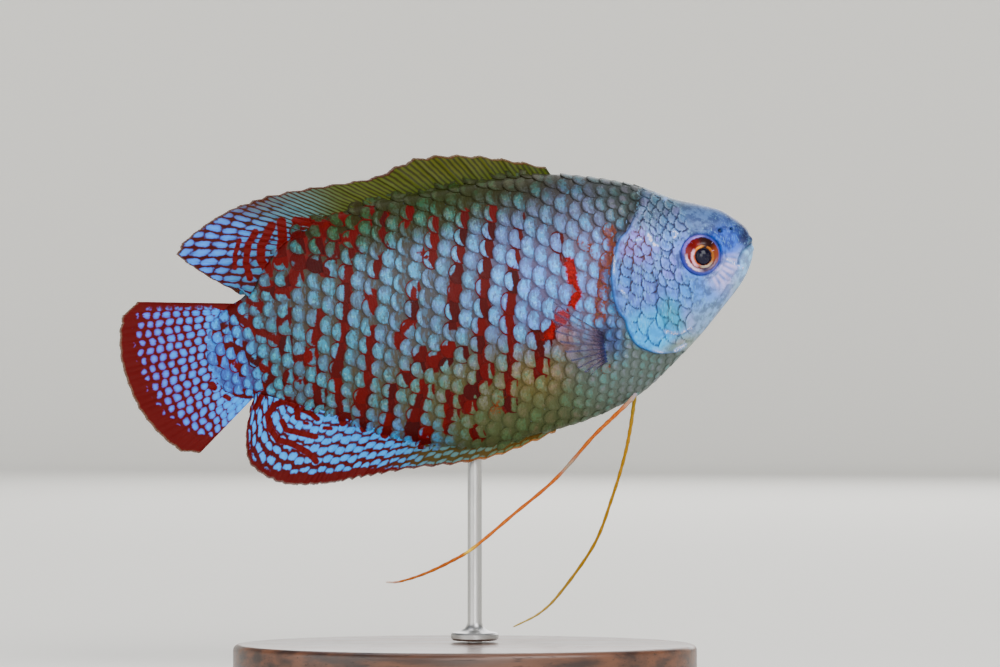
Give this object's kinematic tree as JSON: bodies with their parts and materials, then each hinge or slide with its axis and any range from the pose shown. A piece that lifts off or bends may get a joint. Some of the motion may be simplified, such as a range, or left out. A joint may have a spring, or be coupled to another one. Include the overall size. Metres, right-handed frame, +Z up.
{
  "type": "dwarf gourami model on a display stand",
  "caption": "Still life-size model of an adult male dwarf gourami with fins spread and thread-like pelvic feelers, held by a rod on a plain oval base.",
  "frame": {"origin": "centre of the underside of the oval base, on the floor", "axes": "+X along the base's long axis, the way the fish faces; +Y to the fish's left; +Z up"},
  "size_m": [0.0796, 0.036, 0.0652],
  "materials": {
    "body_skin": "satin, scaled, painted",
    "head_skin": "satin, painted",
    "fin": "satin, thin, painted",
    "clear_fin": "satin, see-through",
    "feeler": "satin, painted",
    "eye": "polished",
    "stand_wood": "satin lacquer, dark stain",
    "stand_steel": "brushed"
  },
  "bodies": {
    "root": {"head": "head_skin", "lower_jaw": "head_skin", "gill_cover_right": "head_skin", "gill_cover_left": "head_skin", "eye_right": "eye", "eye_left": "eye", "trunk": "body_skin", "tail_stalk": "body_skin", "dorsal_fin": "fin", "anal_fin": "fin", "tail_fin": "fin", "pectoral_fin_right": "clear_fin", "pectoral_fin_left": "clear_fin", "pelvic_feeler_right": "feeler", "pelvic_feeler_left": "feeler", "stand_base": "stand_wood", "stand_rod": "stand_steel"}
  },
  "joints": []
}
